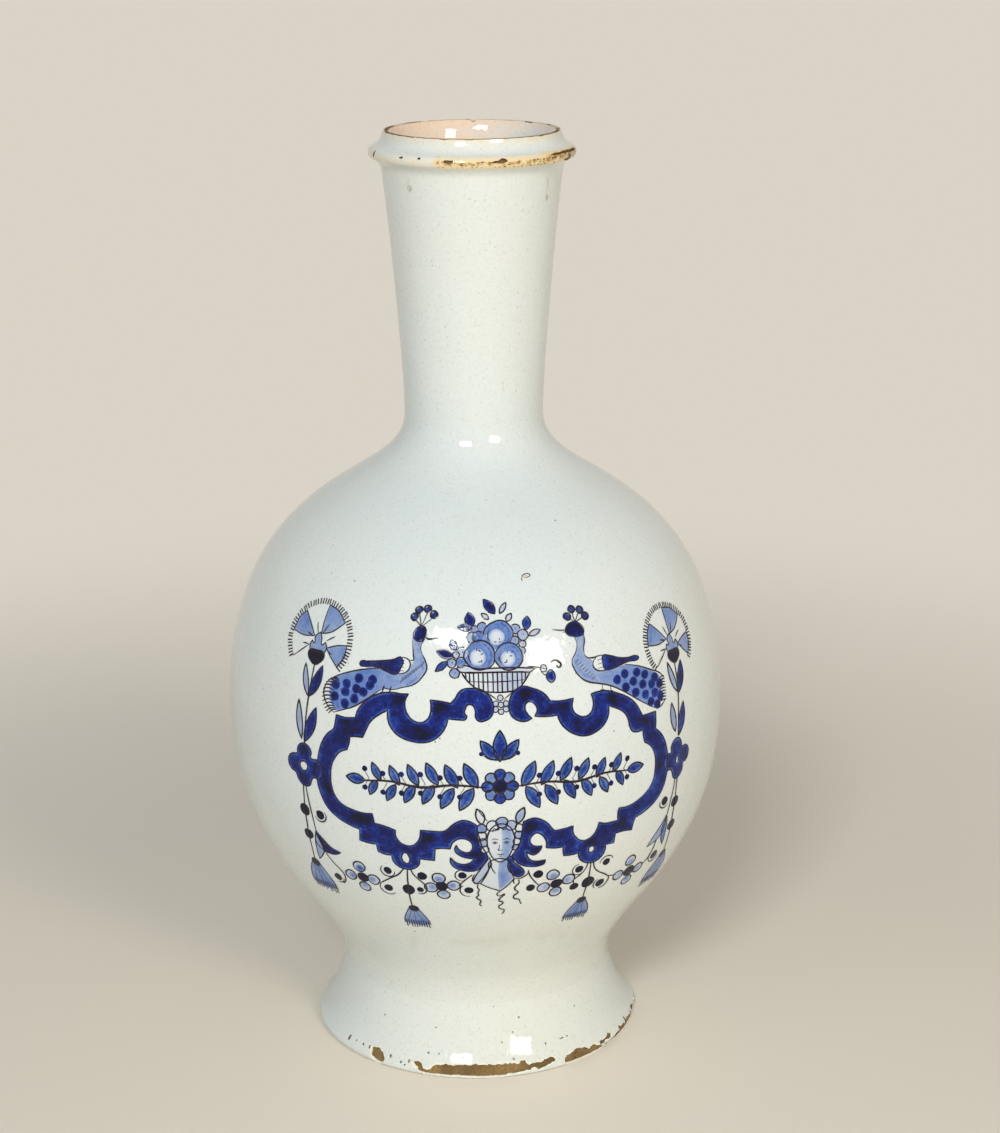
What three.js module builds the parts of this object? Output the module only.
// A tin-glazed earthenware apothecary bottle, as the pieces that a potter throws and joins: a spreading
// foot, the two halves of the globe, the neck with its lip, and the collar that keeps the string of a
// tied-down cover from slipping off. Luting slip joins the pieces, and one coat of white glaze covers
// the outside and another the inside. Millimetres, +Z up, origin at the middle of the standing ring.
import * as THREE from "three";

// Heights and radii of the glazed outside.
const HEIGHT = 250;
const STANDING_RADIUS = 45.2;
const FOOT_EDGE_HEIGHT = 2;
const WAIST_RADIUS = 37.35;
const WAIST_HEIGHT = 19;
const BELLY_RADIUS = 67.6;
const BELLY_HEIGHT = 95;
const NECK_ROOT_RADIUS = 18.6;
const NECK_ROOT_HEIGHT = 175.5;
const NECK_TOP_RADIUS = 23.85;
const NECK_TOP_HEIGHT = 240;
const COLLAR_RADIUS = 27.25;
const COLLAR_HEIGHT = 244.3;
const NOSE_RADIUS = 1.65;
const LIP_RADIUS = 23.3;

// Radii and heights of the glazed inside.
const FLOOR_HEIGHT = 21;
const FLOOR_FLAT_RADIUS = 22;
const BORE_RADIUS = 13.5;
const MOUTH_RADIUS = 21.5;

// Thicknesses. The gap keeps the clay, the slip and the glaze apart as solids.
const CLAY_WALL = 4.8;
const GLAZE = 0.5;
const SLIP = 0.8;
const GAP = 0.15;
const WALL = CLAY_WALL + 2 * (GLAZE + GAP);

// The globe's underside has a spigot that centres the foot, and the foot is hollow below it.
const SPIGOT_RADIUS = 31.5;
const SPIGOT_HEIGHT = 14.5;
const FOOT_CEILING = 12.5;
const RING_INNER_RADIUS = 38.4;
const RING_CHAMFER = 0.6;

// The halves of the globe meet on a sloping rim, and the collar sits in a shallow seat on the neck.
const RIM_SLOPE = 2.4;
const SEAT_RADIUS = 22.5;
const COLLAR_SLIP = 0.6;

// The glaze is wiped off the standing ring and worn off the edge of the lip.
const BARE_FOOT = 0.4;
const BARE_LIP = 0.5;

const SIDES = 36;

const CLAY_FINISH = { color: 0xc49a63, roughness: 0.85, metalness: 0 };
const SLIP_FINISH = { color: 0xd6b98c, roughness: 0.9, metalness: 0 };
const GLAZE_FINISH = { color: 0xdde5e1, roughness: 0.15, metalness: 0 };

const at = (radius, height) => new THREE.Vector2(radius, height);
const curve = (from, bend, bendEnd, to, steps) =>
  new THREE.CubicBezierCurve(from, bend, bendEnd, to).getPoints(steps);

// Moves each point of an outline square to the outline, to the left as it runs. An outline that climbs
// the outside moves into the wall, and a negative depth does the same for one that climbs the inside.
function inset(outline, depth) {
  const last = outline.length - 1;
  return outline.map((point, i) => {
    const before = outline[Math.max(i - 1, 0)];
    const after = outline[Math.min(i + 1, last)];
    const into = point.clone().sub(before).normalize();
    const out = after.clone().sub(point).normalize();
    const along = into.add(out).normalize();
    return at(point.x - along.y * depth, point.y + along.x * depth);
  });
}

// The glazed outside, from the foot to the lip. The foot is a rounded edge with a flare above it.
const waist = at(WAIST_RADIUS, WAIST_HEIGHT);
const belly = at(BELLY_RADIUS, BELLY_HEIGHT);
const neckRoot = at(NECK_ROOT_RADIUS, NECK_ROOT_HEIGHT);
const neckTop = at(NECK_TOP_RADIUS, NECK_TOP_HEIGHT);

const footEdge = [
  at(STANDING_RADIUS - 0.15, BARE_FOOT),
  at(STANDING_RADIUS, FOOT_EDGE_HEIGHT / 2),
  at(STANDING_RADIUS - 0.5, FOOT_EDGE_HEIGHT),
];
const footFlare = curve(
  footEdge[2],
  at(STANDING_RADIUS - 5, FOOT_EDGE_HEIGHT + 4.4),
  at(WAIST_RADIUS, WAIST_HEIGHT - 1.8),
  waist,
  6,
);
const lowerGlobe = curve(waist, at(WAIST_RADIUS, 38.2), at(BELLY_RADIUS, 48.7), belly, 8);
const upperGlobe = curve(belly, at(BELLY_RADIUS, 160.8), at(NECK_ROOT_RADIUS, 153.6), neckRoot, 10);
const neckTaper = curve(neckRoot, at(NECK_ROOT_RADIUS, 186), at(21.6, 222), neckTop, 4);

// The collar slopes out of the neck to a rounded nose, and a hollow throat runs from there to the lip.
const noseCentre = at(COLLAR_RADIUS - NOSE_RADIUS, COLLAR_HEIGHT);
const nose = [-45, 0, 35, 70].map((degrees) => {
  const angle = THREE.MathUtils.degToRad(degrees);
  const reach = at(Math.cos(angle), Math.sin(angle)).multiplyScalar(NOSE_RADIUS);
  return noseCentre.clone().add(reach);
});
const underNose = neckTop.clone().lerp(nose[0], 0.4);
const throat = curve(
  nose.at(-1),
  at(LIP_RADIUS + 1.3, HEIGHT - 3.5),
  at(LIP_RADIUS + 0.5, HEIGHT - 2.8),
  at(LIP_RADIUS, HEIGHT - BARE_LIP),
  3,
);

const outside = [
  ...footEdge,
  ...footFlare.slice(1),
  ...lowerGlobe.slice(1),
  ...upperGlobe.slice(1),
  ...neckTaper.slice(1),
  underNose,
  ...nose,
  ...throat.slice(1),
];

// Places in that outline where one piece ends and the next begins.
const WAIST = footEdge.length + footFlare.length - 2;
const BELLY = WAIST + lowerGlobe.length - 1;
const NECK_ROOT = BELLY + upperGlobe.length - 1;
const SHOULDER = NECK_ROOT - 2;
const NECK_TOP = NECK_ROOT + neckTaper.length - 1;
const UNDER_NOSE = NECK_TOP + 1;
const ABOVE_NOSE = UNDER_NOSE + nose.length + 1;

// The glazed inside, from the middle of the floor to the mouth. The globe keeps one wall thickness.
const globeInside = inset(outside, WALL).slice(WAIST + 1, SHOULDER + 1);
const boreRoot = at(BORE_RADIUS, NECK_ROOT_HEIGHT + 0.5);
const shoulderInside = curve(
  globeInside.at(-1),
  at(BORE_RADIUS + 3.4, NECK_ROOT_HEIGHT - 12),
  at(BORE_RADIUS, NECK_ROOT_HEIGHT - 7),
  boreRoot,
  3,
);
const boreInside = curve(
  boreRoot,
  at(BORE_RADIUS, 190),
  at(18.8, 228),
  at(MOUTH_RADIUS, HEIGHT - BARE_LIP),
  4,
);
const floorInside = [at(0, FLOOR_HEIGHT), at(FLOOR_FLAT_RADIUS, FLOOR_HEIGHT), at(29.5, 24)];
const inside = [
  ...floorInside,
  ...globeInside,
  ...shoulderInside.slice(1),
  ...boreInside.slice(1),
];

// The same places in the inside outline, which leaves the outside one's index behind it by a fixed step.
const INSIDE_STEP = floorInside.length - (WAIST + 1);
const BELLY_INSIDE = BELLY + INSIDE_STEP;
const SHOULDER_INSIDE = SHOULDER + INSIDE_STEP;

// The clay's own faces, under the glaze.
const clayOutside = inset(outside, GLAZE + GAP);
const clayInside = inset(inside, -(GLAZE + GAP));
clayOutside[0].y = BARE_FOOT;
clayInside[0].x = 0;

// The point that lies the given way along an outline from one of its points, back for a negative way.
function beyond(outline, index, along) {
  const start = outline[index];
  const step = outline[index + Math.sign(along)].clone().sub(start);
  return start.clone().add(step.setLength(Math.abs(along)));
}

// The faces of the two joints in the wall, outer edge first, moved along the wall to leave room for slip.
function rimFace(along) {
  return [
    beyond(clayOutside, BELLY, along - RIM_SLOPE / 2),
    beyond(clayInside, BELLY_INSIDE, along + RIM_SLOPE / 2),
  ];
}

function shoulderFace(along) {
  return [
    beyond(clayOutside, SHOULDER, along),
    beyond(clayInside, SHOULDER_INSIDE, along),
  ];
}

// The slip that fills a joint in the wall.
function seam(face) {
  const halfThickness = SLIP / 2 - GAP;
  return [...face(halfThickness), ...face(-halfThickness).reverse()];
}

// A closed outline turned about the bottle's axis, as one named piece.
function turned(name, outline, finish) {
  const closed = outline.at(0).x === 0 ? outline : [...outline, outline[0]];
  const geometry = new THREE.LatheGeometry(closed, SIDES).rotateX(Math.PI / 2);
  const piece = new THREE.Mesh(geometry, new THREE.MeshStandardMaterial(finish));
  piece.name = name;
  return piece;
}

// Foot: a hollow spreading ring, thrown on its own and luted round the spigot under the globe.
function foot() {
  const socketRadius = SPIGOT_RADIUS + SLIP;
  const jointHeight = WAIST_HEIGHT - SLIP / 2;
  const ringOuter = clayOutside[0].x - RING_CHAMFER;
  const flank = curve(
    at(socketRadius, FOOT_CEILING),
    at(socketRadius, 8),
    at(RING_INNER_RADIUS - 1.4, 4.5),
    at(RING_INNER_RADIUS, RING_CHAMFER),
    3,
  );
  return [
    at(ringOuter, 0),
    ...clayOutside.slice(0, WAIST),
    at(clayOutside[WAIST].x, jointHeight),
    at(socketRadius, jointHeight),
    ...flank,
    at(RING_INNER_RADIUS + RING_CHAMFER, 0),
  ];
}

// Slip of the foot: it fills the step between the socket and the spigot.
function footSlip() {
  const outerRadius = clayOutside[WAIST].x;
  const top = WAIST_HEIGHT + SLIP / 2 - GAP;
  const bottom = WAIST_HEIGHT - SLIP / 2 + GAP;
  return [
    at(outerRadius, bottom),
    at(outerRadius, top),
    at(SPIGOT_RADIUS + GAP, top),
    at(SPIGOT_RADIUS + GAP, SPIGOT_HEIGHT),
    at(SPIGOT_RADIUS + SLIP - GAP, SPIGOT_HEIGHT),
    at(SPIGOT_RADIUS + SLIP - GAP, bottom),
  ];
}

// Lower half of the globe: a bowl with the bottle's floor, and a rim that slopes up inwards.
function globeLower() {
  const jointHeight = WAIST_HEIGHT + SLIP / 2;
  return [
    at(0, SPIGOT_HEIGHT),
    at(SPIGOT_RADIUS, SPIGOT_HEIGHT),
    at(SPIGOT_RADIUS, jointHeight),
    at(clayOutside[WAIST].x, jointHeight),
    ...clayOutside.slice(WAIST + 1, BELLY),
    ...rimFace(-SLIP / 2),
    ...clayInside.slice(0, BELLY_INSIDE + 1).reverse(),
  ];
}

// Upper half of the globe: the shoulder, open at the top where the neck goes on.
function globeUpper() {
  const [rimOuter, rimInner] = rimFace(SLIP / 2);
  return [
    rimOuter,
    ...clayOutside.slice(BELLY, SHOULDER),
    ...shoulderFace(-SLIP / 2),
    ...clayInside.slice(BELLY_INSIDE + 1, SHOULDER_INSIDE).reverse(),
    rimInner,
  ];
}

// Neck: a widening tube with the lip on top and the collar's seat just below it.
const seatBottom = clayOutside[NECK_TOP].y + 0.5;
const seatTop = clayOutside[ABOVE_NOSE].y - 0.4;

function neck() {
  const [rootOuter, rootInner] = shoulderFace(SLIP / 2);
  const lipHalf = (clayOutside.at(-1).x - clayInside.at(-1).x) / 2;
  const lipMiddle = clayInside.at(-1).x + lipHalf;
  return [
    rootOuter,
    ...clayOutside.slice(SHOULDER + 1, NECK_TOP + 1),
    at(SEAT_RADIUS, seatBottom),
    at(SEAT_RADIUS, seatTop),
    ...clayOutside.slice(ABOVE_NOSE),
    at(lipMiddle + 0.8 * lipHalf, HEIGHT),
    at(lipMiddle - 0.8 * lipHalf, HEIGHT),
    ...clayInside.slice(SHOULDER_INSIDE + 1).reverse(),
    rootInner,
  ];
}

// Collar: a ring of clay round the top of the neck, thrown to a nose.
const collarBottom = clayOutside[UNDER_NOSE].y;
const collarTop = clayOutside[ABOVE_NOSE - 1].y + 0.4;

function collar() {
  const bore = SEAT_RADIUS + COLLAR_SLIP;
  return [
    at(bore, collarBottom),
    ...clayOutside.slice(UNDER_NOSE, ABOVE_NOSE),
    at(bore, collarTop),
  ];
}

// Slip of the collar, between its bore and the seat.
function collarSlip() {
  const inner = SEAT_RADIUS + GAP;
  const outer = SEAT_RADIUS + COLLAR_SLIP - GAP;
  return [
    at(inner, collarBottom),
    at(outer, collarBottom),
    at(outer, collarTop),
    at(inner, collarTop),
  ];
}

// Glaze: one coat from above the standing ring to the lip, and one from the floor up to the mouth.
function glazeOutside() {
  const underside = inset(outside, GLAZE);
  underside[0].y = BARE_FOOT;
  return [...outside, ...underside.reverse()];
}

function glazeInside() {
  const underside = inset(inside, -GLAZE);
  underside[0].x = 0;
  return [...underside, ...inside.toReversed()];
}

const bottle = new THREE.Group();
bottle.name = "apothecary_bottle";
bottle.add(
  turned("foot", foot(), CLAY_FINISH),
  turned("foot_slip", footSlip(), SLIP_FINISH),
  turned("globe_lower", globeLower(), CLAY_FINISH),
  turned("belly_slip", seam(rimFace), SLIP_FINISH),
  turned("globe_upper", globeUpper(), CLAY_FINISH),
  turned("neck_slip", seam(shoulderFace), SLIP_FINISH),
  turned("neck", neck(), CLAY_FINISH),
  turned("collar_slip", collarSlip(), SLIP_FINISH),
  turned("collar", collar(), CLAY_FINISH),
  turned("glaze_outside", glazeOutside(), GLAZE_FINISH),
  turned("glaze_inside", glazeInside(), GLAZE_FINISH),
);

export default bottle;
